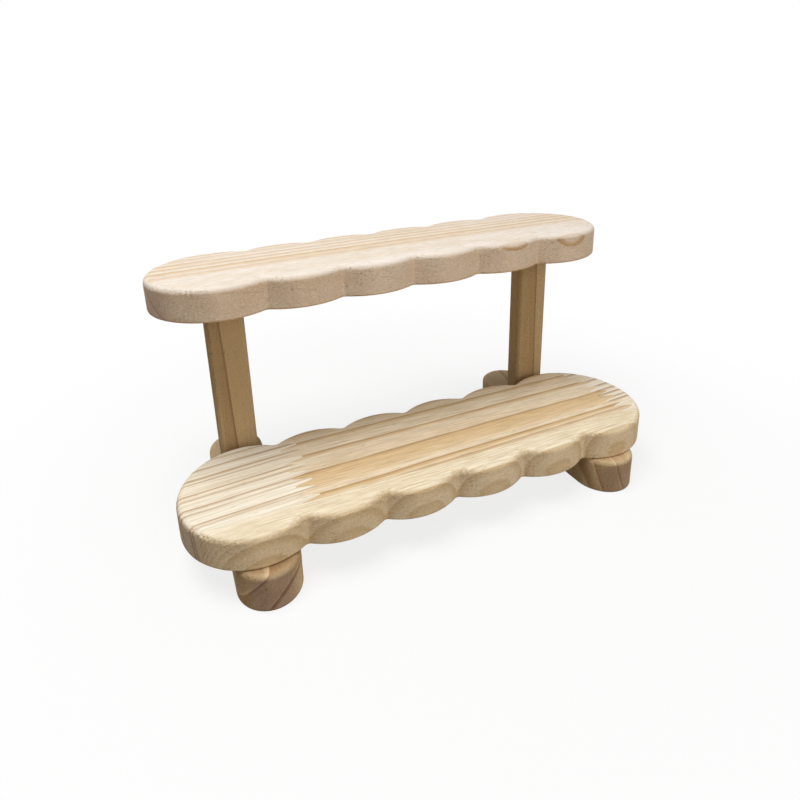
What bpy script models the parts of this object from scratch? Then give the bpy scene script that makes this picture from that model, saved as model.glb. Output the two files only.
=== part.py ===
"""Two-tier countertop display stand in bare pine.

Two scalloped shelves stand on a pair of round-ended foot bars: the lower one lies on the bars,
the upper one stands on two flat posts behind it. The lower shelf is glued up from finger-jointed
blocks and a narrow front stave. Screws hold each bar from below, dowels hold the upper shelf.
Metres, +Z up, +X along the shelves, -Y towards the front, origin on the ground at mid stand.
"""
import math

import bmesh
import bpy

# Shelves: a row of equal round lobes with softened cusps between them
SHELF_LENGTH = 0.255
LOBE_COUNT = 6
LOBE_RADIUS = 0.034
CUSP_RADIUS = 0.003
BOARD_THICKNESS = 0.016
BOARD_TOP_ROUND = 0.003
BOARD_BOTTOM_EASE = 0.0006

# Heights, and how far the pieces stand behind each other
STAND_HEIGHT = 0.130
TOE_LENGTH = 0.005
POST_GAP = 0.003

# Foot bars and posts
BAR_INSET = 0.035
BAR_WIDTH = 0.030
BAR_HEIGHT = 0.018
BAR_TOP_ROUND = 0.0025
BAR_BOTTOM_EASE = 0.0006
POST_WIDTH = 0.020
POST_DEPTH = 0.010
POST_CORNER = 0.0025

# Glue-up of the lower shelf: end blocks, front stave and fingers
LEFT_BLOCK_LENGTH = 0.058
RIGHT_BLOCK_LENGTH = 0.015
FRONT_STAVE_WAIST = 0.007
FINGER_LENGTH = 0.009
FINGER_PITCH = 0.006
FINGER_TIP = 0.001

# Dowels between posts and upper shelf
DOWEL_RADIUS = 0.003
DOWEL_CHAMFER = 0.0006
DOWEL_POST_BITE = 0.012
DOWEL_COVER = 0.006

# Countersunk wood screws up through the bars
SCREW_RADIUS = 0.00175
SCREW_HEAD_RADIUS = 0.0035
SCREW_RIM = 0.0005
SCREW_POINT_LENGTH = 0.005
SCREW_TIP_RADIUS = 0.0004
SCREW_RECESS = 0.001
SCREW_POST_BITE = 0.020
SCREW_COVER = 0.007
SHELF_SCREW_SPACING = 0.025

# Clearance between any two pieces, and how far a cutter runs past a face
FIT_GAP = 0.0003
PASS = 0.002

# Facets
ARC_STEP = math.radians(8)
CUSP_FACETS = 3
ROUND_FACETS = 3
TURNED_SIDES = 16

# Places that follow from the sizes above
LOBE_PITCH = (SHELF_LENGTH - 2 * LOBE_RADIUS) / (LOBE_COUNT - 1)
END_LOBE_X = SHELF_LENGTH / 2 - LOBE_RADIUS
BAR_X = SHELF_LENGTH / 2 - BAR_INSET
CUSP_Y = math.sqrt((LOBE_RADIUS + CUSP_RADIUS) ** 2 - (LOBE_PITCH / 2) ** 2)
WAIST_Y = CUSP_Y - CUSP_RADIUS
SEAM_Y = FRONT_STAVE_WAIST - WAIST_Y
BAR_LENGTH = TOE_LENGTH + 2 * LOBE_RADIUS + POST_GAP + POST_DEPTH / 2 + LOBE_RADIUS
LOWER_SHELF_Y = -BAR_LENGTH / 2 + TOE_LENGTH + LOBE_RADIUS
LOWER_SHELF_Z = BAR_HEIGHT + FIT_GAP
UPPER_SHELF_Y = BAR_LENGTH / 2 - LOBE_RADIUS
UPPER_SHELF_Z = STAND_HEIGHT - BOARD_THICKNESS
POST_Z = BAR_HEIGHT + FIT_GAP
POST_LENGTH = UPPER_SHELF_Z - FIT_GAP - POST_Z
POST_FIXING_X = POST_WIDTH / 4
DOWEL_SHELF_BITE = BOARD_THICKNESS - DOWEL_COVER
DOWEL_LENGTH = DOWEL_POST_BITE + FIT_GAP + DOWEL_SHELF_BITE
POST_SCREW_LENGTH = POST_Z - SCREW_RECESS + SCREW_POST_BITE
SHELF_SCREW_LENGTH = LOWER_SHELF_Z - SCREW_RECESS + BOARD_THICKNESS - SCREW_COVER


def clear_scene():
    for item in list(bpy.data.objects):
        bpy.data.objects.remove(item)


def pine(name, colour, roughness):
    """Bare planed or routed wood of one tone."""
    material = bpy.data.materials.new(name)
    material.use_nodes = True
    shader = material.node_tree.nodes["Principled BSDF"]
    shader.inputs["Base Color"].default_value = (*colour, 1)
    shader.inputs["Roughness"].default_value = roughness
    return material


def zinc(name):
    material = pine(name, (0.55, 0.53, 0.48), 0.35)
    material.node_tree.nodes["Principled BSDF"].inputs["Metallic"].default_value = 1
    return material


def arc(x, y, radius, start, end, facets=None):
    """Points on a circular arc, both ends and the middle included unless the facets are given."""
    count = facets or 2 * math.ceil(abs(end - start) / ARC_STEP / 2)
    angles = [start + (end - start) * k / count for k in range(count + 1)]
    return [(x + radius * math.cos(a), y + radius * math.sin(a)) for a in angles]


def scallop_outline(inset):
    """Shelf outline drawn in by an inset, counter-clockwise from the left end along the front."""
    lean = math.asin(LOBE_PITCH / 2 / (LOBE_RADIUS + CUSP_RADIUS))
    front = math.radians(270)
    points = []
    for lobe in range(LOBE_COUNT):
        x = lobe * LOBE_PITCH - END_LOBE_X
        first, last = lobe == 0, lobe == LOBE_COUNT - 1
        start = math.pi if first else front - lean
        end = 2 * math.pi if last else front + lean
        points += arc(x, 0, LOBE_RADIUS - inset, start, end)
        if not last:
            up = math.pi / 2
            reach = CUSP_RADIUS + inset
            points += arc(x + LOBE_PITCH / 2, -CUSP_Y, reach, up + lean, up - lean, CUSP_FACETS)[1:-1]
    # The back is the front turned half round; each half leaves its last point to the other
    return points[:-1] + [(-x, -y) for x, y in points[:-1]]


def bar_outline(inset):
    """Foot bar outline: straight sides and full-round ends."""
    radius = BAR_WIDTH / 2 - inset
    run = (BAR_LENGTH - BAR_WIDTH) / 2
    return arc(0, run, radius, 0, math.pi) + arc(0, -run, radius, math.pi, 2 * math.pi)


def post_outline():
    """Flat slat with softened arrises."""
    x, y = POST_WIDTH / 2 - POST_CORNER, POST_DEPTH / 2 - POST_CORNER
    points = []
    for quarter, (cx, cy) in enumerate([(x, y), (-x, y), (-x, -y), (x, -y)]):
        start = quarter * math.pi / 2
        points += arc(cx, cy, POST_CORNER, start, start + math.pi / 2, ROUND_FACETS)
    return points


def loft(mesh, rings):
    """Skin a stack of equal rings of (x, y, z) points and cap both ends."""
    loops = [[mesh.verts.new(point) for point in ring] for ring in rings]
    count = len(loops[0])
    for low, high in zip(loops, loops[1:]):
        for k in range(count):
            following = (k + 1) % count
            mesh.faces.new((low[k], low[following], high[following], high[k]))
    mesh.faces.new(list(reversed(loops[0])))
    mesh.faces.new(loops[-1])


def level(points, z):
    return [(x, y, z) for x, y in points]


def routed_rings(outline, height, top_round, bottom_ease):
    """Rings of a board with an eased lower edge and a rounded-over upper edge."""
    rings = [level(outline(bottom_ease), 0), level(outline(0), bottom_ease)]
    for k in range(ROUND_FACETS + 1):
        turn = k / ROUND_FACETS * math.pi / 2
        inset = top_round * (1 - math.cos(turn))
        rings.append(level(outline(inset), height - top_round * (1 - math.sin(turn))))
    return rings


def turned_rings(profile, x=0, y=0, z=0):
    """Rings of a round piece from its (radius, height) profile, listed upwards."""
    turns = [2 * math.pi * k / TURNED_SIDES for k in range(TURNED_SIDES)]
    return [[(x + r * math.cos(a), y + r * math.sin(a), z + h) for a in turns] for r, h in profile]


def screw_profile(length):
    """Countersunk screw, head face down and point up."""
    neck = SCREW_RIM + SCREW_HEAD_RADIUS - SCREW_RADIUS
    return [
        (SCREW_HEAD_RADIUS, 0),
        (SCREW_HEAD_RADIUS, SCREW_RIM),
        (SCREW_RADIUS, neck),
        (SCREW_RADIUS, length - SCREW_POINT_LENGTH),
        (SCREW_TIP_RADIUS, length),
    ]


def screw_hole_profile(length):
    """Hole for that screw, open below the bar, with clearance all round."""
    neck = SCREW_RIM + SCREW_HEAD_RADIUS - SCREW_RADIUS
    return [
        (SCREW_HEAD_RADIUS + FIT_GAP, -SCREW_RECESS - PASS),
        (SCREW_HEAD_RADIUS + FIT_GAP, SCREW_RIM),
        (SCREW_RADIUS + FIT_GAP, neck),
        (SCREW_RADIUS + FIT_GAP, length + FIT_GAP),
    ]


def dowel_profile():
    tip = DOWEL_RADIUS - DOWEL_CHAMFER
    return [
        (tip, 0),
        (DOWEL_RADIUS, DOWEL_CHAMFER),
        (DOWEL_RADIUS, DOWEL_LENGTH - DOWEL_CHAMFER),
        (tip, DOWEL_LENGTH),
    ]


def dowel_hole_profile():
    radius = DOWEL_RADIUS + FIT_GAP
    return [(radius, -FIT_GAP), (radius, DOWEL_LENGTH + FIT_GAP)]


def add_object(name, stacks, place, parent, material=None):
    """One object from stacks of rings. With no material it is a cutter."""
    mesh = bpy.data.meshes.new(name)
    shape = bmesh.new()
    for rings in stacks:
        loft(shape, rings)
    bmesh.ops.recalc_face_normals(shape, faces=shape.faces)
    shape.to_mesh(mesh)
    shape.free()
    piece = bpy.data.objects.new(name, mesh)
    bpy.context.scene.collection.objects.link(piece)
    piece.parent = parent
    piece.location = place
    if material:
        mesh.materials.append(material)
        mesh.shade_smooth()
        mesh.set_sharp_from_angle(angle=math.radians(35))
    else:
        piece.hide_render = True
        piece.display_type = "WIRE"
    return piece


def boolean(piece, cutter, operation):
    modifier = piece.modifiers.new(cutter.name, "BOOLEAN")
    modifier.operation = operation
    modifier.object = cutter
    modifier.solver = "EXACT"


def finger_reach(joint_x):
    """How far back whole fingers may stand: inside the board's waist and inside its end lobe."""
    into_lobe = max(0, abs(joint_x) + FINGER_LENGTH / 2 - END_LOBE_X)
    return min(WAIST_Y, math.sqrt(LOBE_RADIUS ** 2 - into_lobe ** 2) - BOARD_TOP_ROUND)


def finger_line(joint_x, side):
    """Finger joint seen from above, front to back, for the piece on one side of it.

    side -1 is the piece to the left of the joint, +1 the piece to its right. Each line lies half
    a clearance inside its own piece, measured square to the flanks. Whole fingers fill the joint
    as far as the board is wide, and the rest of it is plain.
    """
    half_pitch, half_tip = FINGER_PITCH / 2, FINGER_TIP / 2
    slope = (half_pitch - FINGER_TIP) / FINGER_LENGTH
    shift = side * FIT_GAP / 2
    widen = side * FIT_GAP / 2 * (math.hypot(1, slope) - slope)
    root_x = joint_x - FINGER_LENGTH / 2 + shift
    tip_x = joint_x + FINGER_LENGTH / 2 + shift
    root, tip = half_pitch - half_tip + widen, half_tip + widen
    points = [(root_x, SEAM_Y + FIT_GAP / 2)]
    for k in range(math.floor((finger_reach(joint_x) - SEAM_Y) / FINGER_PITCH)):
        y = SEAM_Y + (k + 0.5) * FINGER_PITCH
        points += [(root_x, y - root), (tip_x, y - tip), (tip_x, y + tip), (root_x, y + root)]
    return points + [(root_x, LOBE_RADIUS + PASS)]


def lower_shelf_regions():
    """Plan of each glued piece of the lower shelf, running past the shelf's own edges."""
    end_x = SHELF_LENGTH / 2
    left_x, right_x = LEFT_BLOCK_LENGTH - end_x, end_x - RIGHT_BLOCK_LENGTH
    stave_y, block_y = SEAM_Y - FIT_GAP / 2, SEAM_Y + FIT_GAP / 2
    far_x, far_y = end_x + PASS, LOBE_RADIUS + PASS
    left, middle_left = finger_line(left_x, -1), finger_line(left_x, 1)
    middle_right, right = finger_line(right_x, -1), finger_line(right_x, 1)
    return {
        "lower_shelf_left_block": [(-far_x, block_y), *left, (-far_x, far_y)],
        "lower_shelf_middle_block": [*middle_right, *reversed(middle_left)],
        "lower_shelf_right_block": [(far_x, block_y), (far_x, far_y), *reversed(right)],
        "lower_shelf_front_stave": [
            (-far_x, -far_y), (far_x, -far_y), (far_x, stave_y), (-far_x, stave_y),
        ],
    }


def build_upper_shelf(parent, dowel_holes):
    rings = routed_rings(scallop_outline, BOARD_THICKNESS, BOARD_TOP_ROUND, BOARD_BOTTOM_EASE)
    place = (0, UPPER_SHELF_Y, UPPER_SHELF_Z)
    shelf = add_object("upper_shelf", [rings], place, parent, pine("upper_pine", (0.76, 0.61, 0.43), 0.6))
    for holes in dowel_holes:
        boolean(shelf, holes, "DIFFERENCE")


def build_lower_shelf(parent, screw_holes):
    """The whole board, drilled, then kept only inside the plan of each glued piece."""
    tones = {
        "lower_shelf_left_block": (0.72, 0.55, 0.36),
        "lower_shelf_middle_block": (0.66, 0.48, 0.29),
        "lower_shelf_right_block": (0.74, 0.58, 0.39),
        "lower_shelf_front_stave": (0.73, 0.55, 0.33),
    }
    place = (0, LOWER_SHELF_Y, LOWER_SHELF_Z)
    board = routed_rings(scallop_outline, BOARD_THICKNESS, BOARD_TOP_ROUND, BOARD_BOTTOM_EASE)
    for name, plan in lower_shelf_regions().items():
        prism = [level(plan, -PASS), level(plan, BOARD_THICKNESS + PASS)]
        block = add_object(name, [board], place, parent, pine(name + "_pine", tones[name], 0.6))
        for holes in screw_holes:
            boolean(block, holes, "DIFFERENCE")
        boolean(block, add_object(name + "_plan", [prism], place, parent), "INTERSECT")


def build_side(side, sign, parent, steel, beech):
    """One bar with its post and fixings. Returns the hole cutters that both shelves need."""
    x = sign * BAR_X
    post_screws = [(x - POST_FIXING_X, UPPER_SHELF_Y), (x + POST_FIXING_X, UPPER_SHELF_Y)]
    reach = SHELF_SCREW_SPACING / 2
    shelf_screws = [(x, LOWER_SHELF_Y - reach), (x, LOWER_SHELF_Y + reach)]
    dowel_z = UPPER_SHELF_Z - FIT_GAP - DOWEL_POST_BITE
    bar_rings = routed_rings(bar_outline, BAR_HEIGHT, BAR_TOP_ROUND, BAR_BOTTOM_EASE)
    bar_pine = pine(side + "_bar_pine", (0.6, 0.42, 0.26), 0.6)
    bar = add_object(side + "_foot_bar", [bar_rings], (x, 0, 0), parent, bar_pine)
    post_rings = [level(post_outline(), 0), level(post_outline(), POST_LENGTH)]
    post_pine = pine(side + "_post_pine", (0.58, 0.43, 0.27), 0.6)
    post = add_object(side + "_post", [post_rings], (x, UPPER_SHELF_Y, POST_Z), parent, post_pine)

    def screws(kind, places, length):
        for place, word in zip(places, ("a", "b")):
            name = f"{side}_{kind}_screw_{word}"
            add_object(name, [turned_rings(screw_profile(length))], (*place, SCREW_RECESS), parent, steel)
        holes = [turned_rings(screw_hole_profile(length), *place, SCREW_RECESS) for place in places]
        return add_object(f"{side}_{kind}_screw_holes", holes, (0, 0, 0), parent)

    for place, word in zip(post_screws, ("a", "b")):
        dowel_rings = turned_rings(dowel_profile())
        add_object(f"{side}_dowel_{word}", [dowel_rings], (*place, dowel_z), parent, beech)
    dowel_stacks = [turned_rings(dowel_hole_profile(), *place, dowel_z) for place in post_screws]
    dowel_holes = add_object(side + "_dowel_holes", dowel_stacks, (0, 0, 0), parent)
    post_holes = screws("post", post_screws, POST_SCREW_LENGTH)
    shelf_holes = screws("shelf", shelf_screws, SHELF_SCREW_LENGTH)
    for holes in (post_holes, shelf_holes):
        boolean(bar, holes, "DIFFERENCE")
    for holes in (post_holes, dowel_holes):
        boolean(post, holes, "DIFFERENCE")
    return dowel_holes, shelf_holes


def build_stand():
    stand = bpy.data.objects.new("display_stand", None)
    bpy.context.scene.collection.objects.link(stand)
    steel, beech = zinc("zinc_steel"), pine("beech", (0.62, 0.45, 0.29), 0.55)
    sides = [build_side(side, sign, stand, steel, beech) for side, sign in (("left", -1), ("right", 1))]
    build_lower_shelf(stand, [shelf_holes for _, shelf_holes in sides])
    build_upper_shelf(stand, [dowel_holes for dowel_holes, _ in sides])


clear_scene()
build_stand()
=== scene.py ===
import math

import bmesh
import bpy
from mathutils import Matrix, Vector, noise


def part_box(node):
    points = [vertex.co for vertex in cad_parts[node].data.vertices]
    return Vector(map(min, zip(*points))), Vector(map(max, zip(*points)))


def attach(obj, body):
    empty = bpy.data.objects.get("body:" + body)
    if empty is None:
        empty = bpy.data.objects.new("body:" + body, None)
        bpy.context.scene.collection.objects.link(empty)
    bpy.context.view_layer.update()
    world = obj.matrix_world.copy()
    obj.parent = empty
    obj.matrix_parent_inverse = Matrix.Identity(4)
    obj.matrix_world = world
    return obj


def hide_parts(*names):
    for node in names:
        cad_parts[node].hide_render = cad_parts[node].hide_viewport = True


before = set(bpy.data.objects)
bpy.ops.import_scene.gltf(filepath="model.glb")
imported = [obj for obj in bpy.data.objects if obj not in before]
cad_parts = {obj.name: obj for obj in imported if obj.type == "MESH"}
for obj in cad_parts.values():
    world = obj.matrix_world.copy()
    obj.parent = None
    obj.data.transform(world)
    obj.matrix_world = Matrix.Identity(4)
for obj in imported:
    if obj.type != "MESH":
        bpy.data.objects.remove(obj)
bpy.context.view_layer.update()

# Foot bars
# Two round-ended pine bars that run front to back and carry everything else. Each is sawn from
# a plank, its ends turned round, and its upper edge rounded over by a cutter. No varnish.


def join(tree, kind, sockets=(), **settings):
    """Add a shader node, set it up, and link or set its inputs."""
    node = tree.nodes.new("ShaderNode" + kind)
    for name, value in settings.items():
        setattr(node, name, value)
    for key, value in dict(sockets).items():
        if isinstance(value, bpy.types.NodeSocket):
            tree.links.new(value, node.inputs[key])
        else:
            node.inputs[key].default_value = value
    return node


def reckon(tree, operation, *terms):
    """Result of a sum on numbers or sockets."""
    return join(tree, "Math", enumerate(terms), operation=operation).outputs[0]


def steer(tree, operation, *terms):
    """Result of a sum on vectors or sockets."""
    return join(tree, "VectorMath", enumerate(terms), operation=operation).outputs[0]


def rise(tree, value, low, high):
    """Smooth step from 0 at low to 1 at high."""
    feeds = {"Value": value, "From Min": low, "From Max": high}
    return join(tree, "MapRange", feeds, interpolation_type="SMOOTHSTEP").outputs[0]


def tint(tree, share, under, over, mode="MIX"):
    """Lay one colour over another by a share from 0 to 1."""
    return join(tree, "Mix", {0: share, 6: under, 7: over}, data_type="RGBA", blend_type=mode).outputs[2]


def speckle(tree, place, detail=2.0):
    """Soft noise from 0 to 1, its spots about one unit of the place across."""
    return join(tree, "TexNoise", {"Vector": place, "Scale": 1.0, "Detail": detail}).outputs[0]


def new_group(name, inputs, outputs):
    """Empty shader group with named sockets. Returns it with its input and output nodes' sockets."""
    group = bpy.data.node_groups.new(name, "ShaderNodeTree")
    for label, start in inputs.items():
        kind = {1: "Float", 3: "Vector", 4: "Color"}[len(start) if isinstance(start, tuple) else 1]
        socket = group.interface.new_socket(label, in_out="INPUT", socket_type="NodeSocket" + kind)
        socket.default_value = start
    for label, kind in outputs.items():
        group.interface.new_socket(label, in_out="OUTPUT", socket_type="NodeSocket" + kind)
    feeds = group.nodes.new("NodeGroupInput").outputs
    results = group.nodes.new("NodeGroupOutput").inputs
    return group, feeds, results


def grown_rings():
    """Where a surface cuts a tree: its distance from the pith in mm, and marks that run with the grain.

    X runs along the grain once the place is turned. Pith is a point of the tree's middle line and
    Drift how far that line runs off sideways for each metre along the grain.
    """
    tree, feed, result = new_group(
        "grown_rings",
        {"Place": (0, 0, 0), "Turn": (0, 0, 0), "Pith": (0, 0, 0), "Drift": (0, 0, 0),
         "Wander": 1.0, "Seed": 0.0},
        {"Distance": "Float", "Fibre": "Float", "Fleck": "Float", "Tone": "Float", "Patch": "Float"},
    )
    grain_place = join(tree, "VectorRotate", {"Vector": feed["Place"], "Rotation": feed["Turn"]},
                       rotation_type="EULER_XYZ").outputs[0]
    along = join(tree, "SeparateXYZ", {0: grain_place}).outputs[0]
    strayed = join(tree, "VectorMath", {0: feed["Drift"], "Scale": along}, operation="SCALE").outputs[0]
    from_pith = steer(tree, "SUBTRACT", steer(tree, "SUBTRACT", grain_place, feed["Pith"]), strayed)
    in_mm = steer(tree, "MULTIPLY", from_pith, (1000, 1000, 1000))
    lot = join(tree, "CombineXYZ", {0: feed["Seed"], 1: feed["Seed"], 2: feed["Seed"]}).outputs[0]

    def stretched(*scale):
        return steer(tree, "ADD", steer(tree, "MULTIPLY", in_mm, scale), lot)

    waves = join(tree, "TexNoise", {"Vector": stretched(0.012, 0.05, 0.05), "Scale": 1.0, "Detail": 3.0})
    sway = steer(tree, "SUBTRACT", waves.outputs["Color"], (0.5, 0.5, 0.5))
    sway = join(tree, "VectorMath", {0: sway, "Scale": feed["Wander"]}, operation="SCALE").outputs[0]
    spot = steer(tree, "MULTIPLY", steer(tree, "ADD", in_mm, sway), (0, 1, 1))
    radius = join(tree, "VectorMath", {0: spot}, operation="LENGTH").outputs["Value"]
    dashes = join(tree, "TexVoronoi", {"Vector": stretched(0.13, 1.3, 1.3), "Scale": 1.0})
    rare = rise(tree, join(tree, "SeparateColor", {0: dashes.outputs["Color"]}).outputs[0], 0.72, 0.8)
    core = reckon(tree, "SUBTRACT", 1, rise(tree, dashes.outputs[0], 0.1, 0.26))
    fleck = reckon(tree, "MULTIPLY", core, rare)
    tree.links.new(radius, result["Distance"])
    tree.links.new(speckle(tree, stretched(0.04, 1.5, 1.5), 6.0), result["Fibre"])
    tree.links.new(fleck, result["Fleck"])
    tree.links.new(speckle(tree, stretched(0.012, 0.07, 0.07)), result["Tone"])
    tree.links.new(rise(tree, speckle(tree, stretched(0.03, 0.3, 0.3)), 0.3, 0.6), result["Patch"])
    return tree


def tool_cut():
    """What saw, planer and router leave: fuzz on the sides, torn pits by the upper edge, end grain."""
    tree, feed, result = new_group(
        "tool_cut",
        {"Place": (0, 0, 0), "Facing": (0, 0, 0), "Turn": (0, 0, 0), "Seed": 0.0},
        {"Side": "Float", "End": "Float", "Against": "Float", "Arris": "Float", "Lower Ease": "Float",
         "Fuzz": "Float", "Tear": "Float"},
    )
    faces = join(tree, "SeparateXYZ", {0: feed["Facing"]}).outputs
    grain_facing = join(tree, "VectorRotate", {"Vector": feed["Facing"], "Rotation": feed["Turn"]},
                        rotation_type="EULER_XYZ").outputs[0]
    across = reckon(tree, "ABSOLUTE", join(tree, "SeparateXYZ", {0: grain_facing}).outputs[0])
    upright = reckon(tree, "ABSOLUTE", faces[2])
    side = reckon(tree, "SUBTRACT", 1, rise(tree, upright, 0.35, 0.97))
    edge = reckon(tree, "MULTIPLY", rise(tree, faces[2], 0.08, 0.45),
                  reckon(tree, "SUBTRACT", 1, rise(tree, faces[2], 0.86, 0.995)))
    against = rise(tree, reckon(tree, "MULTIPLY", faces[0], faces[1]), 0.02, 0.4)
    lot = join(tree, "CombineXYZ", {0: feed["Seed"], 1: feed["Seed"], 2: feed["Seed"]}).outputs[0]
    in_mm = steer(tree, "ADD", steer(tree, "MULTIPLY", feed["Place"], (1000, 1000, 1000)), lot)
    fine = speckle(tree, steer(tree, "MULTIPLY", in_mm, (1.1, 1.1, 1.4)), 5.0)
    patch = speckle(tree, steer(tree, "MULTIPLY", in_mm, (0.12, 0.12, 0.2)), 2.0)
    fuzz = reckon(tree, "MULTIPLY", reckon(tree, "SUBTRACT", fine, 0.5),
                  reckon(tree, "MULTIPLY_ADD", patch, 1.2, 0.7))
    pit_place = steer(tree, "MULTIPLY", in_mm, (0.5, 0.7, 3.0))
    pits = join(tree, "TexVoronoi", {"Vector": pit_place, "Scale": 1.0})
    rare = rise(tree, join(tree, "SeparateColor", {0: pits.outputs["Color"]}).outputs[0], 0.4, 0.5)
    core = reckon(tree, "SUBTRACT", 1, rise(tree, pits.outputs[0], 0.12, 0.38))
    hole = reckon(tree, "MULTIPLY", core, rare)
    torn_area = reckon(tree, "MULTIPLY", rise(tree, patch, 0.42, 0.6), 0.9)
    where = reckon(tree, "MAXIMUM", edge, reckon(tree, "MULTIPLY", side, torn_area))
    where = reckon(tree, "MULTIPLY", where, reckon(tree, "MULTIPLY_ADD", against, 0.85, 0.15))
    tree.links.new(side, result["Side"])
    tree.links.new(rise(tree, across, 0.55, 0.97), result["End"])
    tree.links.new(reckon(tree, "MULTIPLY", side, against), result["Against"])
    # A mask of the lower ease where it faces downwards.
    below = reckon(tree, "MULTIPLY", faces[2], -1)
    lower_ease = reckon(tree, "SUBTRACT", rise(tree, below, 0.02, 0.2), rise(tree, below, 0.9, 0.99))
    tree.links.new(lower_ease, result["Lower Ease"])
    tree.links.new(edge, result["Arris"])
    tree.links.new(fuzz, result["Fuzz"])
    tree.links.new(reckon(tree, "MULTIPLY", hole, where), result["Tear"])
    return tree


def bare_pine():
    """Colour, roughness and height of unvarnished pine from its rings, its cut surface and some painted
    light and shade.
    """
    masks = ("Late", "Line", "Fibre", "Fleck", "Tone", "Patch", "Side", "End", "Against", "Arris",
             "Lower Ease", "Fuzz", "Tear")
    inputs = {label: 0.0 for label in masks}
    inputs |= {"Pale": (0.8, 0.68, 0.5, 1), "Golden": (0.7, 0.5, 0.27, 1), "Brown": (0.5, 0.3, 0.14, 1),
               "Side Cast": (1, 0.9, 0.75, 1), "End Cast": (0.8, 0.7, 0.62, 1), "Gold Amount": 0.5,
               "Line Amount": 0.8, "Streak Amount": 0.5, "Arris Amount": 0.0}
    tree, feed, result = new_group(
        "bare_pine", inputs, {"Colour": "Color", "Roughness": "Float", "Height": "Float"})
    warm = reckon(tree, "MULTIPLY", rise(tree, feed["Tone"], 0.35, 0.7), 0.25)
    colour = tint(tree, warm, feed["Pale"], feed["Golden"])
    with_grain = reckon(tree, "MULTIPLY_ADD", feed["End"], -0.75, 1)
    gold = reckon(tree, "MULTIPLY", feed["Late"], feed["Gold Amount"])
    gold = reckon(tree, "MULTIPLY", gold, with_grain)
    # The downward-facing lower ease is tinted golden.
    gold = reckon(tree, "MAXIMUM", gold, reckon(tree, "MULTIPLY", feed["Lower Ease"], 0.8))
    colour = tint(tree, gold, colour, feed["Golden"])
    firm = reckon(tree, "MULTIPLY_ADD", feed["End"], 1.2, feed["Line Amount"])
    line = reckon(tree, "MULTIPLY", feed["Line"], reckon(tree, "MINIMUM", firm, 1))
    line = reckon(tree, "MULTIPLY", line, reckon(tree, "MULTIPLY_ADD", feed["Patch"], 0.35, 0.65))
    end_line = tint(tree, 1, feed["Brown"], (0.55, 0.5, 0.5, 1), "MULTIPLY")
    colour = tint(tree, line, colour, tint(tree, feed["End"], feed["Brown"], end_line))
    colour = tint(tree, reckon(tree, "MULTIPLY", feed["Fleck"], 0.5), colour, feed["Brown"])
    # Side Cast tints faces that face sideways warmer and darker: partly the cut faces' own tone, partly
    # painted warm bounce light.
    colour = tint(tree, feed["Side"], colour, tint(tree, 1, colour, feed["Side Cast"], "MULTIPLY"))
    colour = tint(tree, feed["End"], colour, tint(tree, 1, colour, feed["End Cast"], "MULTIPLY"))
    planed_face = reckon(tree, "MULTIPLY_ADD", feed["Side"], -0.6, 1)
    streak = reckon(tree, "SUBTRACT", feed["Fibre"], 0.5)
    streak = reckon(tree, "MULTIPLY", streak, feed["Streak Amount"])
    streak = reckon(tree, "MULTIPLY", streak, planed_face)
    streak = join(tree, "VectorMath", {0: (1, 1.25, 1.7), "Scale": streak}, operation="SCALE").outputs[0]
    colour = steer(tree, "MULTIPLY_ADD", streak, colour, colour)
    side_fuzz = reckon(tree, "MULTIPLY", feed["Fuzz"], feed["Side"])
    mottle = reckon(tree, "MULTIPLY_ADD", side_fuzz, 0.55, 1)
    torn = reckon(tree, "MULTIPLY_ADD", feed["Against"], -0.16, 1)
    colour = join(tree, "VectorMath", {0: colour, "Scale": reckon(tree, "MULTIPLY", mottle, torn)},
                  operation="SCALE").outputs[0]
    arris = reckon(tree, "MULTIPLY", feed["Arris"], feed["Arris Amount"])
    colour = tint(tree, arris, colour, feed["Pale"])
    # The torn pits are laid over with dark brown: painted shade inside the pits.
    colour = tint(tree, reckon(tree, "MULTIPLY", feed["Tear"], 0.6), colour, (0.22, 0.12, 0.06, 1))
    tree.links.new(colour, result["Colour"])
    roughness = reckon(tree, "MULTIPLY_ADD", feed["Side"], 0.16, 0.58)
    roughness = reckon(tree, "MULTIPLY_ADD", feed["Fibre"], 0.12, roughness)
    tree.links.new(reckon(tree, "MULTIPLY_ADD", feed["Late"], -0.1, roughness), result["Roughness"])
    raised = reckon(tree, "MULTIPLY", feed["Late"], 0.3)
    raised = reckon(tree, "MULTIPLY_ADD", feed["Fibre"], 0.25, raised)
    raised = reckon(tree, "MULTIPLY_ADD", side_fuzz, 0.6, raised)
    raised = reckon(tree, "MULTIPLY_ADD", feed["Tear"], -1.4, raised)
    tree.links.new(reckon(tree, "MULTIPLY_ADD", feed["Fleck"], -0.35, raised), result["Height"])
    return tree


RINGS, CUT, PINE = grown_rings(), tool_cut(), bare_pine()
ALONG_X, ALONG_Y, ALONG_Z = (0, 0, 0), (0, 0, math.radians(-90)), (0, math.radians(90), 0)
BUMP_DEPTH = 0.00022
LINE_WIDTH, YEAR_STOP, WIDE_YEAR = 1.1, 0.45, 6


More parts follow.
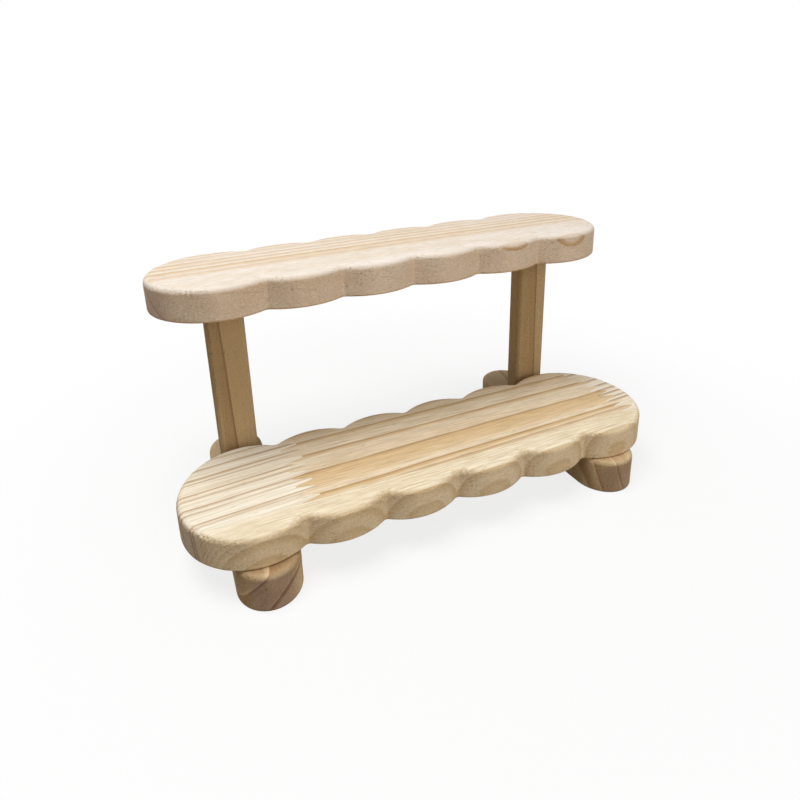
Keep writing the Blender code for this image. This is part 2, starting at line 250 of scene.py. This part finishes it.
def late_wood(tree, distance, years):
    """Late wood of each year and the dark line that ends it, each from 0 to 1, as two sockets.

    years lists how far from the pith each one ends, how dark it gets and how wide it is, in mm.
    A colour ramp holds them, so there is room for 32 stops: three to five for each year.
    """
    near, far = years[0][0] - years[0][2], years[-1][0] + YEAR_STOP
    share = join(tree, "MapRange", {"Value": distance, "From Min": near, "From Max": far}).outputs[0]
    ramp = join(tree, "ValToRGB", {0: share})
    stops, stopped = [], near
    for end, depth, width in years:
        stops.append((max(end - width, stopped), 0, 0))
        if width > WIDE_YEAR:
            stops.append((end - 0.75 * width, depth * 0.6, 0))
        if width > 2 * LINE_WIDTH:
            stops.append((end - LINE_WIDTH, depth * 0.85, 0))
        stopped = end + YEAR_STOP
        stops += [(end, depth, depth), (stopped, 0, 0)]
    for mark in ramp.color_ramp.elements:
        mark.color = (0, 0, 0, 1)
    for place, late, line in stops[1:-1]:
        ramp.color_ramp.elements.new((place - near) / (far - near)).color = (late, line, 0, 1)
    return join(tree, "SeparateColor", {0: ramp.outputs[0]}).outputs[:2]


def pine(name, turn, seed, years, growth, colours):
    """Material of one piece of pine: its years, where their pith lay from it, and its own tones."""
    material = bpy.data.materials.new(name)
    material.use_nodes = True
    tree = material.node_tree
    shader = tree.nodes["Principled BSDF"]
    coords = join(tree, "TexCoord").outputs
    grown = join(tree, "Group", node_tree=RINGS)
    cut = join(tree, "Group", node_tree=CUT)
    wood = join(tree, "Group", node_tree=PINE)
    for node, values in ((grown, growth), (wood, colours)):
        for label, value in values.items():
            node.inputs[label].default_value = value
    for node in (grown, cut):
        node.inputs["Turn"].default_value = turn
        node.inputs["Seed"].default_value = seed
        tree.links.new(coords["Object"], node.inputs["Place"])
    tree.links.new(coords["Normal"], cut.inputs["Facing"])
    for socket, label in zip(late_wood(tree, grown.outputs["Distance"], years), ("Late", "Line")):
        tree.links.new(socket, wood.inputs[label])
    for socket in [*grown.outputs[1:], *cut.outputs]:
        tree.links.new(socket, wood.inputs[socket.name])
    bump = join(tree, "Bump", {"Height": wood.outputs["Height"], "Distance": BUMP_DEPTH,
                               "Strength": 1.0})
    tree.links.new(wood.outputs["Colour"], shader.inputs["Base Color"])
    tree.links.new(wood.outputs["Roughness"], shader.inputs["Roughness"])
    tree.links.new(bump.outputs[0], shader.inputs["Normal"])
    shader.inputs["Specular IOR Level"].default_value = 0.3
    return material


def arc(x, y, radius, start, end, count):
    """Points of an arc with their outward directions, both ends included."""
    points = []
    for k in range(count + 1):
        turn = start + (end - start) * k / count
        out_x, out_y = math.cos(turn), math.sin(turn)
        points.append((x + radius * out_x, y + radius * out_y, out_x, out_y))
    return points


def run(x, y0, y1, out, count):
    """Points inside a straight side, both ends left out."""
    return [(x, y0 + (y1 - y0) * k / count, out, 0) for k in range(1, count)]


ROUND_ROWS, FACE_RIM = 9, 0.0003


def edge_steps(height, top_round, bottom_ease, rows):
    """Insets, heights and tilts of a rounded-over edge, from the sole to the upper face.

    A narrow rim inside each flat face keeps its shading flat.
    """
    steps = [(bottom_ease + FACE_RIM, 0, -90)]
    steps += [(bottom_ease * (1 - math.cos(a)), bottom_ease * (1 + math.sin(a)), math.degrees(a))
              for a in (math.radians(d) for d in (-90, -60, -30, 0))]
    low, high = bottom_ease, height - top_round
    steps += [(0, low + (high - low) * k / rows, 0) for k in range(1, rows)]
    steps += [(top_round * (1 - math.cos(a)), high + top_round * math.sin(a), math.degrees(a))
              for a in (math.radians(90 * k / ROUND_ROWS) for k in range(ROUND_ROWS + 1))]
    return steps + [(top_round + FACE_RIM, height, 90)]


def skin(name, loops):
    """Closed mesh object over a stack of loops of equal count, lowest first."""
    shape = bmesh.new()
    levels = [[shape.verts.new(point) for point in loop] for loop in loops]
    count = len(levels[0])
    for low, high in zip(levels, levels[1:]):
        for k in range(count):
            shape.faces.new((low[k], low[(k + 1) % count], high[(k + 1) % count], high[k]))
    shape.faces.new(list(reversed(levels[0])))
    shape.faces.new(levels[-1])
    mesh = bpy.data.meshes.new(name)
    bmesh.ops.recalc_face_normals(shape, faces=shape.faces)
    shape.to_mesh(mesh)
    shape.free()
    piece = bpy.data.objects.new(name, mesh)
    bpy.context.scene.collection.objects.link(piece)
    return piece


def routed(name, outline, place, steps, wear):
    """Piece with a worked edge: wear says how far the tool bit in at a point, in metres.

    It gets the point, the outline's outward direction there and the tilt of the edge in degrees.
    """
    loops = []
    for inset, z, tilt in steps:
        flat, up = math.cos(math.radians(tilt)), math.sin(math.radians(tilt))
        loop = []
        for x, y, out_x, out_y in outline(inset):
            point = Vector((x, y, z)) + place
            bite = wear(point, out_x, out_y, tilt) if abs(tilt) < 90 else 0
            loop.append(point - Vector((out_x * flat, out_y * flat, up)) * bite)
        loops.append(loop)
    return skin(name, loops)


def turned(profile, x, y, z, sides=32):
    """Loops of a round form from its (radius, height) profile."""
    turns = [2 * math.pi * k / sides for k in range(sides)]
    return [[(x + r * math.cos(a), y + r * math.sin(a), z + h) for a in turns] for r, h in profile]


def worked(piece, operation, *tools):
    """Cut a piece with tool bodies, or keep only what lies inside them.

    The piece is faceted first, because cuts through its many-sided faces leave doubled slivers.
    """
    piece.modifiers.new("facets", "TRIANGULATE")
    for tool in tools:
        change = piece.modifiers.new(tool.name, "BOOLEAN")
        change.operation, change.object, change.solver = operation, tool, "EXACT"
    bpy.context.view_layer.update()
    evaluated = piece.evaluated_get(bpy.context.evaluated_depsgraph_get())
    mesh = bpy.data.meshes.new_from_object(evaluated)
    piece.modifiers.clear()
    piece.data = mesh
    for tool in tools:
        bpy.data.objects.remove(tool)


SHARP_ANGLE = math.radians(38)


def finished(piece, material, node):
    """Dress a finished piece, and let it stand for its CAD node."""
    piece.data.materials.clear()
    piece.data.materials.append(material)
    piece.data.shade_smooth()
    piece.data.set_sharp_from_angle(angle=SHARP_ANGLE)
    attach(piece, "root")
    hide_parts(node)


SCREW_HEAD, SCREW_SHANK, SCREW_RIM = 0.0035, 0.00175, 0.0005
SCREW_NECK = SCREW_RIM + SCREW_HEAD - SCREW_SHANK
FIT, BELOW_SOLE = 0.0003, 0.003


def screw_holes(name, nodes):
    """Countersunk clearance holes for the screws whose nodes are named."""
    tools = []
    for node in nodes:
        low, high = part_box(node)
        middle = (low + high) / 2
        length = high.z - low.z
        profile = [(SCREW_HEAD + FIT, -BELOW_SOLE), (SCREW_HEAD + FIT, SCREW_RIM),
                   (SCREW_SHANK + FIT, SCREW_NECK), (SCREW_SHANK + FIT, length + FIT)]
        tools.append(skin(name + "_" + node, turned(profile, middle.x, middle.y, low.z)))
    return tools


def bar_wear(point, out_x, out_y, tilt):
    """Saw and sander on a bar: long soft hollows, and chips by the upper edge of the round ends."""
    spot = point * 1000
    hollow = 0.05 * (1 + noise.noise(spot * 0.07))
    fuzz = 0.025 * abs(noise.noise(spot * 0.8))
    end = abs(out_y)
    chip = max(0, noise.noise(Vector((spot.x * 0.9, spot.y * 0.35, spot.z * 0.5))) - 0.12)
    return (hollow + fuzz + 0.45 * chip * end * (20 < tilt < 85)) / 1000


BAR_ROUND, BAR_EASE = 0.0025, 0.0006
BAR_ROWS, END_SEGMENTS, FLANK_SEGMENTS = 20, 72, 90
SIDES = {"left": -1, "right": 1}
bar_pith = {"left": (0, 0.0265, -0.0605), "right": (0, -0.184, 0.036)}
bar_drift = {"left": (0, -0.085, -0.085), "right": (0, -0.2, 0)}
# The gold years on the toe tops are partly late wood, partly painted shade of the lower shelf.
bar_years_and_toe_shade = {"left": [(85.6, 1, 2.2), (96.7, 1, 12.5), (108.5, 1, 13.2)],
             "right": [(86, 0.6, 9), (96, 0.8, 11.5), (101, 0.8, 6)]}
bar_end_cast = {"left": (0.61, 0.56, 0.65, 1), "right": (0.6, 0.55, 0.57, 1)}
for side, sign in SIDES.items():
    node = side + "_foot_bar"
    low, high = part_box(node)
    half_width, half_run = (high.x - low.x) / 2, (high.y - low.y - (high.x - low.x)) / 2

    def bar_outline(inset):
        radius = half_width - inset
        return (arc(0, half_run, radius, 0, math.pi, END_SEGMENTS)
                + run(-radius, half_run, -half_run, -1, FLANK_SEGMENTS)
                + arc(0, -half_run, radius, math.pi, 2 * math.pi, END_SEGMENTS)
                + run(radius, -half_run, half_run, 1, FLANK_SEGMENTS))

    place = Vector(((low.x + high.x) / 2, (low.y + high.y) / 2, low.z))
    bar = routed(node + "_wood", bar_outline, place,
                 edge_steps(high.z - low.z, BAR_ROUND, BAR_EASE, BAR_ROWS), bar_wear)
    screws = [f"{side}_{kind}_screw_{letter}" for kind in ("post", "shelf") for letter in "ab"]
    worked(bar, "DIFFERENCE", *screw_holes(node, screws))
    growth = {"Pith": bar_pith[side], "Drift": bar_drift[side], "Wander": 1.2}
    # Golden is dark so that the toe tops come out dark: partly the bars' late wood, partly painted shade
    # of the lower shelf.
    colours = {"Pale": (0.8, 0.61, 0.37, 1), "Golden": (0.3, 0.17, 0.065, 1),
               "Brown": (0.5, 0.28, 0.16, 1), "Side Cast": (0.98, 0.94, 0.86, 1),
               "End Cast": bar_end_cast[side], "Gold Amount": 1.0, "Line Amount": 0.8,
               "Streak Amount": 0.7, "Arris Amount": 0.12}
    material = pine(node + "_pine", ALONG_Y, 3.1 + sign, bar_years_and_toe_shade[side], growth, colours)
    finished(bar, material, node)

# Posts
# Flat pine slats, planed on all four faces with softened corners. They stand on the bars behind
# the lower shelf, screwed from below, and take the upper shelf on two dowels each.

POST_CORNER, POST_EASE = 0.0025, 0.0002
POST_ROWS, CORNER_SEGMENTS = 90, 7
post_pith = {"left": (0, 0.035, 0.1925), "right": (0, 0.03, 0.0075)}
post_years = {"left": [(92, 0.3, 6), (101, 1, 7)],
              "right": [(90.5, 0.7, 2), (104.5, 1, 14)]}


def planed(point, out_x, out_y, tilt):
    """Planer ripple and a little unevenness on a slat."""
    spot = point * 1000
    return (0.03 * (1 + noise.noise(spot * 0.06)) + 0.012 * math.sin(spot.z * 2.4)) / 1000


def dowel_holes(side, below, above):
    """Bodies of the two dowel holes at one side, past the dowels by the given depths."""
    tools = []
    for letter in "ab":
        low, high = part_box(f"{side}_dowel_{letter}")
        middle, radius = (low + high) / 2, (high.x - low.x) / 2 + FIT
        profile = [(radius, -below), (radius, high.z - low.z + above)]
        tools.append(skin("hole", turned(profile, middle.x, middle.y, low.z)))
    return tools


for side, sign in SIDES.items():
    node = side + "_post"
    low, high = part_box(node)
    half_x, half_y = (high.x - low.x) / 2 - POST_CORNER, (high.y - low.y) / 2 - POST_CORNER
    corners = [(half_x, half_y), (-half_x, half_y), (-half_x, -half_y), (half_x, -half_y)]

    def post_outline(inset):
        points = []
        for quarter, (x, y) in enumerate(corners):
            start, end = quarter * math.pi / 2, (quarter + 1) * math.pi / 2
            points += arc(x, y, POST_CORNER - inset, start, end, CORNER_SEGMENTS)
        return points

    place = Vector(((low.x + high.x) / 2, (low.y + high.y) / 2, low.z))
    post = routed(node + "_wood", post_outline, place,
                  edge_steps(high.z - low.z, POST_EASE, POST_EASE, POST_ROWS), planed)
    screws = [f"{side}_post_screw_{letter}" for letter in "ab"]
    worked(post, "DIFFERENCE", *dowel_holes(side, FIT, 0), *screw_holes(node, screws))
    growth = {"Pith": post_pith[side], "Drift": (0, 0.01, 0.02), "Wander": 2.5}
    # The posts' dark brown tones are partly their own wood, partly painted shade of the upper shelf
    # above them.
    colours = {"Pale": (0.58, 0.42, 0.23, 1), "Golden": (0.38, 0.24, 0.11, 1),
               "Brown": (0.26, 0.14, 0.06, 1), "Side Cast": (1, 0.97, 0.92, 1),
               "Gold Amount": 0.8, "Line Amount": 0.8}
    material = pine(node + "_pine", ALONG_Z, 11.7 + 3 * sign, post_years[side], growth, colours)
    finished(post, material, node)

# Lower shelf
# A scalloped board glued up from a front stave and a main stave of three finger-jointed blocks.
# The outline is routed in one pass, so the cutter ran with the grain and against it by turns.

LOBES, LOBE_RADIUS, CUSP_RADIUS = 6, 0.034, 0.003
BOARD_ROUND, BOARD_EASE = 0.003, 0.0006
BOARD_ROWS, LOBE_SEGMENTS_PER_RADIAN, CUSP_SEGMENTS = 18, 60, 8
low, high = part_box("upper_shelf")
shelf_length, board_height = high.x - low.x, high.z - low.z
pitch = (shelf_length - 2 * LOBE_RADIUS) / (LOBES - 1)
lean = math.asin(pitch / 2 / (LOBE_RADIUS + CUSP_RADIUS))
cusp_y = (LOBE_RADIUS + CUSP_RADIUS) * math.cos(lean)


def scallop(inset):
    """Outline of a shelf with its outward directions, counter-clockwise from the left end."""
    half = []
    for lobe in range(LOBES):
        x = (lobe - (LOBES - 1) / 2) * pitch
        first, last = lobe == 0, lobe == LOBES - 1
        start = math.pi if first else 1.5 * math.pi - lean
        end = 2 * math.pi if last else 1.5 * math.pi + lean
        segments = 2 * round((end - start) * LOBE_SEGMENTS_PER_RADIAN / 2)
        half += arc(x, 0, LOBE_RADIUS - inset, start, end, segments)
        if not last:
            hollow = arc(x + pitch / 2, -cusp_y, CUSP_RADIUS + inset, math.pi / 2 + lean,
                         math.pi / 2 - lean, CUSP_SEGMENTS)
            half += [(px, py, -out_x, -out_y) for px, py, out_x, out_y in hollow[1:-1]]
    half.pop()
    return half + [(-x, -y, -out_x, -out_y) for x, y, out_x, out_y in half]


def routed_wear(point, out_x, out_y, tilt):
    """Router on a shelf edge: soft waves, and torn pits where the cutter met the grain head on."""
    spot = point * 1000
    wave = 0.06 * (1 + noise.noise(spot * 0.09))
    fuzz = 0.03 * abs(noise.noise(spot * 0.9))
    against = max(0, out_x * out_y) * 2
    pit_spot = Vector((spot.x * 0.5, spot.y * 0.6, spot.z * 0.8)) + Vector((7, 3, 1))
    torn = max(0, noise.noise(pit_spot) - 0.22)
    edge = 1 if 15 < tilt < 80 else 0.12
    return (wave + fuzz + 0.5 * torn * against * edge) / 1000


low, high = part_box("lower_shelf_front_stave")
shelf_low = low.z
shelf_y = low.y + LOBE_RADIUS
lower_place = Vector((0, shelf_y, shelf_low))
left_joint, right_joint = -0.0695, 0.1125
finger_length, finger_pitch, finger_tip, glue_line = 0.009, 0.006, 0.001, 0.00004
waist = cusp_y - CUSP_RADIUS
stave_at_waist, beyond = 0.007, 0.004
seam = stave_at_waist - waist


def fingers(joint, side):
    """Finger joint from front to back, a hair inside the piece on one side of it."""
    shift = side * glue_line / 2
    root, tip = joint - finger_length / 2 + shift, joint + finger_length / 2 + shift
    wide, narrow = finger_pitch / 2 - finger_tip / 2 + shift, finger_tip / 2 + shift
    into_lobe = max(0, abs(joint) + finger_length / 2 - (shelf_length / 2 - LOBE_RADIUS))
    reach = min(waist, math.sqrt(LOBE_RADIUS ** 2 - into_lobe ** 2) - BOARD_ROUND)
    points = [(root, seam + glue_line / 2)]
    for k in range(math.floor((reach - seam) / finger_pitch)):
        y = seam + (k + 0.5) * finger_pitch
        points += [(root, y - wide), (tip, y - narrow), (tip, y + narrow), (root, y + wide)]
    return points + [(root, LOBE_RADIUS + beyond)]


far_x, far_y = shelf_length / 2 + beyond, LOBE_RADIUS + beyond
seam_back, seam_front = seam + glue_line / 2, seam - glue_line / 2
plans = {
    "left_block": [(-far_x, seam_back), *fingers(left_joint, -1), (-far_x, far_y)],
    "middle_block": [*fingers(right_joint, -1), *reversed(fingers(left_joint, 1))],
    "right_block": [(far_x, seam_back), (far_x, far_y), *reversed(fingers(right_joint, 1))],
    "front_stave": [(-far_x, -far_y), (far_x, -far_y), (far_x, seam_front), (-far_x, seam_front)],
}


def crossing(pith, lines):
    """Years by where they cross a board's upper face: mm back from its middle line, depth, width.

    The pith's own place is given in mm back from that line and up from the face.
    """
    pith_back, pith_up = pith
    return [(math.hypot(back - pith_back, pith_up), depth, width) for back, depth, width in lines]


block_pith = {"left_block": (-150, 10), "middle_block": (-50, 30), "right_block": (-200, 0),
              "front_stave": (-56, -16)}
block_drift = {"left_block": (0, 0.06, 0), "middle_block": (0, -0.006, -0.035),
               "right_block": (0, 0.06, 0), "front_stave": (0, -0.01, 0.05)}
block_years = {
    "left_block": crossing(block_pith["left_block"], [
        (-10.8, 0.6, 1.3), (-9.2, 0.9, 1.2), (-1.8, 0.8, 1.3), (1.5, 1, 1.6), (8.2, 0.75, 1.3),
        (11.3, 1, 4), (19.1, 0.75, 1.3), (22, 1, 1.7), (28.5, 1, 1.7), (34.5, 0.8, 1.5)]),
    "middle_block": crossing(block_pith["middle_block"], [
        (-20.8, 0.7, 1.5), (-16.8, 1, 4), (-1.2, 1, 11), (12.3, 1, 3), (24, 1, 3), (31, 0.7, 3)]),
    "right_block": crossing(block_pith["right_block"], [
        (-17.2, 1, 2), (-14, 0.8, 2), (-9.8, 1, 2), (-5.5, 1, 2), (-0.8, 1, 2), (5.8, 0.8, 2),
        (16, 0.9, 3), (22, 0.8, 3)]),
    "front_stave": [
        (23.1, 0.8, 2.2), (27.2, 1, 2.2), (29.4, 0.5, 1.4), (31.2, 0.45, 1.2), (32.7, 0.4, 1),
        (34, 0.5, 0.9), (35.2, 0.4, 0.8), (36.4, 0.5, 0.8), (37.5, 0.4, 0.8)],
}
block_tones = {
    "left_block": {
        "Pale": (0.93, 0.84, 0.68, 1), "Golden": (0.82, 0.66, 0.43, 1), "Brown": (0.47, 0.28, 0.13, 1),
        "End Cast": (0.67, 0.63, 0.63, 1), "Gold Amount": 0.5, "Line Amount": 0.9},
    "middle_block": {
        "Pale": (0.86, 0.71, 0.51, 1), "Golden": (0.71, 0.49, 0.24, 1), "Brown": (0.42, 0.25, 0.11, 1),
        "Gold Amount": 1.0, "Line Amount": 0.9},
    "right_block": {
        "Pale": (0.96, 0.86, 0.7, 1), "Golden": (0.72, 0.52, 0.31, 1), "Brown": (0.36, 0.21, 0.1, 1),
        "End Cast": (0.63, 0.56, 0.52, 1), "Gold Amount": 0.5, "Line Amount": 0.9},
    "front_stave": {
        "Pale": (0.93, 0.82, 0.62, 1), "Golden": (0.8, 0.63, 0.37, 1), "Brown": (0.52, 0.34, 0.15, 1),
        "End Cast": (0.64, 0.57, 0.53, 1), "Gold Amount": 0.5, "Line Amount": 0.4},
}
block_finish = {"Side Cast": (0.97, 0.87, 0.75, 1), "Streak Amount": 0.8}
shelf_screws = [f"{side}_shelf_screw_{letter}" for side in SIDES for letter in "ab"]
board_steps = edge_steps(board_height, BOARD_ROUND, BOARD_EASE, BOARD_ROWS)
for order, (block, plan) in enumerate(plans.items()):
    node = "lower_shelf_" + block
    piece = routed(node + "_wood", scallop, lower_place, board_steps, routed_wear)
    prism = [[(x, y + shelf_y, z) for x, y in plan]
             for z in (shelf_low - beyond, shelf_low + 2 * board_height)]
    worked(piece, "DIFFERENCE", *screw_holes(node, shelf_screws))
    worked(piece, "INTERSECT", skin("plan", prism))
    pith_back, pith_up = block_pith[block]
    growth = {"Pith": (0, shelf_y + pith_back / 1000, shelf_low + board_height + pith_up / 1000),
              "Drift": block_drift[block], "Wander": 1.5}
    material = pine(node + "_pine", ALONG_X, 21.3 + 4 * order, block_years[block], growth,
                    block_tones[block] | block_finish)
    finished(piece, material, node)

# Upper shelf
# The same outline cut from one wide board, held on the posts by blind dowels. Its pith lay above
# and ahead of the front edge, so the year lines crowd at the back and the front is nearly plain.

low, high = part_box("upper_shelf")
upper_place = Vector((0, (low.y + high.y) / 2, low.z))
upper = routed("upper_shelf_wood", scallop, upper_place, board_steps, routed_wear)
worked(upper, "DIFFERENCE", *dowel_holes("left", 0, FIT), *dowel_holes("right", 0, FIT))
pith_back, pith_up = -44, 8.5
years = [(13, 0.9, 0.8), (41.8, 0.7, 6)] + crossing((pith_back, pith_up), [
    (3.9, 1, 10), (10.3, 0.85, 4.5), (16.5, 0.85, 4.5), (21, 0.5, 2), (24, 0.65, 2.2),
    (28.8, 0.7, 2.2), (33, 0.6, 2.2)])
growth = {"Pith": (0, upper_place.y + pith_back / 1000, high.z + pith_up / 1000),
          "Drift": (0, -0.018, -0.105), "Wander": 1.2}
colours = {"Pale": (0.84, 0.76, 0.67, 1), "Golden": (0.68, 0.47, 0.25, 1), "Brown": (0.48, 0.3, 0.15, 1),
           "Side Cast": (1, 0.87, 0.72, 1), "End Cast": (0.76, 0.72, 0.76, 1), "Gold Amount": 1.0,
           "Line Amount": 0.5, "Streak Amount": 0.6, "Arris Amount": 0.55}
material = pine("upper_shelf_pine", ALONG_X, 47.0, years, growth, colours)
finished(upper, material, "upper_shelf")

# Dowels
# Beech pins, turned with chamfered ends and pressed with flutes that let the glue escape.
# Each is glued half into a post and half into the upper shelf, so none of them shows.

FLUTES, POINTS_PER_FLUTE, FLUTE_DEPTH, DOWEL_CHAMFER = 12, 4, 0.00035, 0.0006
beech_growth = {"Pith": (0, 0.03, 0.02), "Wander": 0.6}
beech_tones = {"Pale": (0.64, 0.47, 0.31, 1), "Golden": (0.56, 0.38, 0.23, 1),
               "Brown": (0.4, 0.24, 0.13, 1), "Gold Amount": 0.5, "Line Amount": 0.4}
beech_years = [(70 + 16 * k, 0.8, 6) for k in range(6)]
beech = pine("dowel_beech_wood", ALONG_Z, 61.0, beech_years, beech_growth, beech_tones)
for side in SIDES:
    for letter in "ab":
        node = f"{side}_dowel_{letter}"
        low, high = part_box(node)
        middle, radius, length = (low + high) / 2, (high.x - low.x) / 2, high.z - low.z
        loops = []
        for inset, z in ((DOWEL_CHAMFER, 0), (0, DOWEL_CHAMFER), (0, length - DOWEL_CHAMFER),
                         (DOWEL_CHAMFER, length)):
            loop = []
            for k in range(FLUTES * POINTS_PER_FLUTE):
                turn = 2 * math.pi * k / (FLUTES * POINTS_PER_FLUTE)
                in_flute = inset == 0 and k % POINTS_PER_FLUTE == POINTS_PER_FLUTE // 2
                reach = radius - inset - (FLUTE_DEPTH if in_flute else 0)
                x, y = middle.x + reach * math.cos(turn), middle.y + reach * math.sin(turn)
                loop.append((x, y, low.z + z))
            loops.append(loop)
        finished(skin(node + "_pin", loops), beech, node)

# Screws
# Zinc-plated countersunk wood screws, driven from under the bars: two into each post and two into
# the lower shelf at each side. Only their crossed heads show, in the soles of the bars.

THREAD_PITCH, THREAD_CREST, THREAD_ROOT = 0.0016, 0.0019, 0.0012
ROWS_PER_TURN, RUN_IN_ROWS, SCREW_SIDES = 8, 6, 24
POINT_LENGTH, POINT_SHARE, HEAD_EASE = 0.005, 0.15, 0.00015
RECESS_PROFILE = [(0.0021, -0.0004), (0.0008, 0.0019)]
ARM = 0.28
CROSS = [(1, ARM), (ARM, ARM), (ARM, 1), (-ARM, 1), (-ARM, ARM), (-1, ARM),
         (-1, -ARM), (-ARM, -ARM), (-ARM, -1), (ARM, -1), (ARM, -ARM), (1, -ARM)]
zinc = bpy.data.materials.new("zinc_plate")
zinc.use_nodes = True
tree = zinc.node_tree
shader = tree.nodes["Principled BSDF"]
place = steer(tree, "MULTIPLY", join(tree, "TexCoord").outputs["Object"], (900, 900, 900))
bloom = speckle(tree, place, 3.0)
shader.inputs["Metallic"].default_value = 1.0
tree.links.new(tint(tree, rise(tree, bloom, 0.35, 0.7), (0.62, 0.6, 0.55, 1), (0.5, 0.46, 0.36, 1)),
               shader.inputs["Base Color"])
tree.links.new(reckon(tree, "MULTIPLY_ADD", bloom, 0.3, 0.2), shader.inputs["Roughness"])
turns = [2 * math.pi * k / SCREW_SIDES for k in range(SCREW_SIDES)]
for side in SIDES:
    for kind in ("post", "shelf"):
        for letter in "ab":
            node = f"{side}_{kind}_screw_{letter}"
            low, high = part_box(node)
            middle, length = (low + high) / 2, high.z - low.z
            rows = [(SCREW_HEAD - HEAD_EASE, 0, 0), (SCREW_HEAD, HEAD_EASE, 0),
                    (SCREW_HEAD, SCREW_RIM, 0), (SCREW_SHANK, SCREW_NECK, 0)]
            steps_up = round((length - SCREW_NECK) / THREAD_PITCH * ROWS_PER_TURN)
            for k in range(1, steps_up + 1):
                z = SCREW_NECK + (length - SCREW_NECK) * k / steps_up
                taper = min(1, (length - z) / POINT_LENGTH * (1 - POINT_SHARE) + POINT_SHARE)
                ridge = (THREAD_CREST - THREAD_ROOT) * taper * min(1, k / RUN_IN_ROWS)
                rows.append((THREAD_ROOT * taper, z, ridge))
            loops = []
            for radius, z, ridge in rows:
                loop = []
                for turn in turns:
                    part = (z / THREAD_PITCH - turn / (2 * math.pi)) % 1
                    reach = radius + ridge * max(0, 1 - abs(part - 0.5) * 4)
                    x, y = middle.x + reach * math.cos(turn), middle.y + reach * math.sin(turn)
                    loop.append((x, y, low.z + z))
                loops.append(loop)
            screw = skin(node + "_plated", loops)
            recess = [[(middle.x + size * x, middle.y + size * y, low.z + z) for x, y in CROSS]
                      for size, z in RECESS_PROFILE]
            worked(screw, "DIFFERENCE", skin("recess", recess))
            finished(screw, zinc, node)

# Counter, light and camera
# A white counter that fades into the white round it and keeps a faint shadow, a broad soft lamp
# overhead and a little to the left, a weaker light from the front on the right, and the camera
# close in at the left, as in the photograph.

COUNTER_RADIUS, COUNTER_SIDES = 1.2, 96
SHADOW_SHARE, SHADOW_FULL, SHADOW_GONE = 0.2, 0.1, 0.32
rim = [2 * math.pi * k / COUNTER_SIDES for k in range(COUNTER_SIDES)]
counter_mesh = bpy.data.meshes.new("counter")
counter_mesh.from_pydata(
    [(0, 0, 0)] + [(COUNTER_RADIUS * math.cos(a), COUNTER_RADIUS * math.sin(a), 0) for a in rim], [],
    [(0, k + 1, (k + 1) % COUNTER_SIDES + 1) for k in range(COUNTER_SIDES)])
counter = bpy.data.objects.new("counter", counter_mesh)
bpy.context.scene.collection.objects.link(counter)
white = bpy.data.materials.new("counter_white")
white.use_nodes = True
tree = white.node_tree
tree.nodes.clear()


def seen(tree):
    """1 for rays that show the background itself: straight, mirrored or through glass."""
    rays = join(tree, "LightPath").outputs
    return reckon(tree, "MAXIMUM", rays["Is Camera Ray"],
                  reckon(tree, "MAXIMUM", rays["Is Glossy Ray"], rays["Is Transmission Ray"]))


spot = join(tree, "TexCoord").outputs["Object"]
away = join(tree, "VectorMath", {0: spot}, operation="LENGTH").outputs["Value"]
near_by = reckon(tree, "SUBTRACT", 1, rise(tree, away, SHADOW_FULL, SHADOW_GONE))
shadow = reckon(tree, "MULTIPLY", near_by, SHADOW_SHARE)
glow = join(tree, "Emission", {"Color": (1, 1, 1, 1), "Strength": 1.0}).outputs[0]
matt = join(tree, "BsdfDiffuse", {"Color": (0.95, 0.95, 0.95, 1)}).outputs[0]
bounce = join(tree, "BsdfDiffuse", {"Color": (0.34, 0.3, 0.26, 1)}).outputs[0]
shown = join(tree, "MixShader", {0: shadow, 1: glow, 2: matt}).outputs[0]
surface = join(tree, "MixShader", {0: seen(tree), 1: bounce, 2: shown}).outputs[0]
tree.links.new(surface, join(tree, "OutputMaterial").inputs[0])
counter_mesh.materials.append(white)

world = bpy.data.worlds.new("white_room")
world.use_nodes = True
bpy.context.scene.world = world
tree = world.node_tree
tree.nodes.clear()
soft = join(tree, "Background", {"Color": (1, 0.98, 0.95, 1), "Strength": 0.21}).outputs[0]
plain = join(tree, "Background", {"Color": (1, 1, 1, 1), "Strength": 1.0}).outputs[0]
tree.links.new(join(tree, "MixShader", {0: seen(tree), 1: soft, 2: plain}).outputs[0],
               join(tree, "OutputWorld").inputs[0])


def lamp(name, place, aim, size, power):
    """Round soft lamp that faces the point it is aimed at."""
    light = bpy.data.lights.new(name, "AREA")
    light.shape, light.size, light.energy = "DISK", size, power
    holder = bpy.data.objects.new(name, light)
    holder.location = place
    holder.rotation_euler = (Vector(aim) - Vector(place)).to_track_quat("-Z", "Y").to_euler()
    bpy.context.scene.collection.objects.link(holder)


lamp("overhead", place=(-0.22, -0.07, 0.84), aim=(0, 0, 0.06), size=0.5, power=5.1)
lamp("window", place=(0.42, -0.85, 0.4), aim=(0, 0, 0.06), size=0.6, power=2.5)

view = bpy.data.cameras.new("view")
view.lens, view.sensor_width, view.clip_start = 24.275, 36, 0.01
view.shift_x, view.shift_y = 0.0747, -0.1627
camera = bpy.data.objects.new("view", view)
camera.location = (-0.1172, -0.2377, 0.1992)
camera.rotation_euler = [math.radians(turn) for turn in (73.763, 3.165, -19.628)]
bpy.context.scene.collection.objects.link(camera)
bpy.context.scene.camera = camera
bpy.context.scene.view_settings.view_transform = "Standard"
